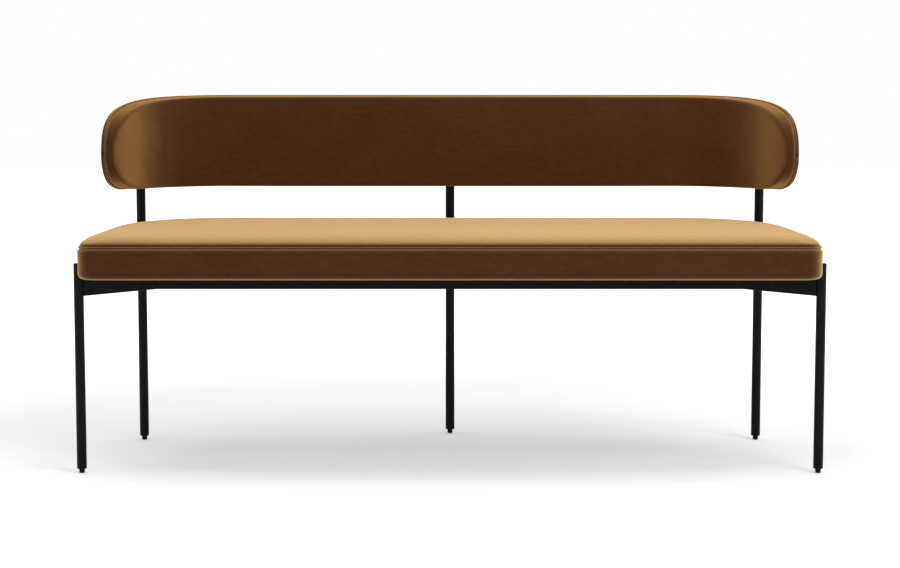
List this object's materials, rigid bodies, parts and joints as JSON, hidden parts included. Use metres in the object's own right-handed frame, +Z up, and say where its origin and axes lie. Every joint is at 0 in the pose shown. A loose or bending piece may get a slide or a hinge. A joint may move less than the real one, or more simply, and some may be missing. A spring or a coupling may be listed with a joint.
{
  "type": "upholstered bench",
  "caption": "Long upholstered bench: a D-shaped cushioned seat on a slim steel frame, with a low padded backrest that wraps forward at both ends.",
  "frame": {"origin": "on the floor, at the middle of the bench's length and of its depth", "axes": "+X along the bench, to the right as seen from the front, +Y from the front towards the backrest, +Z up"},
  "size_m": [1.524, 0.5403, 0.762],
  "materials": {
    "black_steel": "satin black powder coat",
    "black_plastic": "matte black moulding",
    "velvet": "tan velvet with a short pile",
    "foam": "moulded polyurethane foam",
    "plywood": "unfinished birch plywood",
    "zinc_steel": "zinc plated",
    "black_lining": "non-woven lining"
  },
  "bodies": {
    "root": {"back_foam": "foam", "back_front_cover": "velvet", "back_insert_nuts": "zinc_steel", "back_outer_cover": "velvet", "back_screws": "black_steel", "back_shell": "plywood", "back_welt": "velvet", "cross_bar_left": "black_steel", "cross_bar_middle": "black_steel", "cross_bar_right": "black_steel", "dust_cover": "black_lining", "front_arm_left": "black_steel", "front_arm_right": "black_steel", "front_leg_left": "black_steel", "front_leg_right": "black_steel", "front_rail": "black_steel", "glide_front_left": "black_plastic", "glide_front_right": "black_plastic", "glide_rear_left": "black_plastic", "glide_rear_middle": "black_plastic", "glide_rear_right": "black_plastic", "leg_cap_left": "black_plastic", "leg_cap_right": "black_plastic", "rear_arm_left": "black_steel", "rear_arm_right": "black_steel", "rear_rail": "black_steel", "rear_spur": "black_steel", "rear_upright_left": "black_steel", "rear_upright_middle": "black_steel", "rear_upright_right": "black_steel", "seat_board": "plywood", "seat_foam": "foam", "seat_insert_nuts": "zinc_steel", "seat_screws": "zinc_steel", "seat_side_band": "velvet", "seat_tabs": "black_steel", "seat_top_cover": "velvet", "seat_welt": "velvet", "upright_cap_left": "black_plastic", "upright_cap_middle": "black_plastic", "upright_cap_right": "black_plastic"}
  },
  "joints": []
}
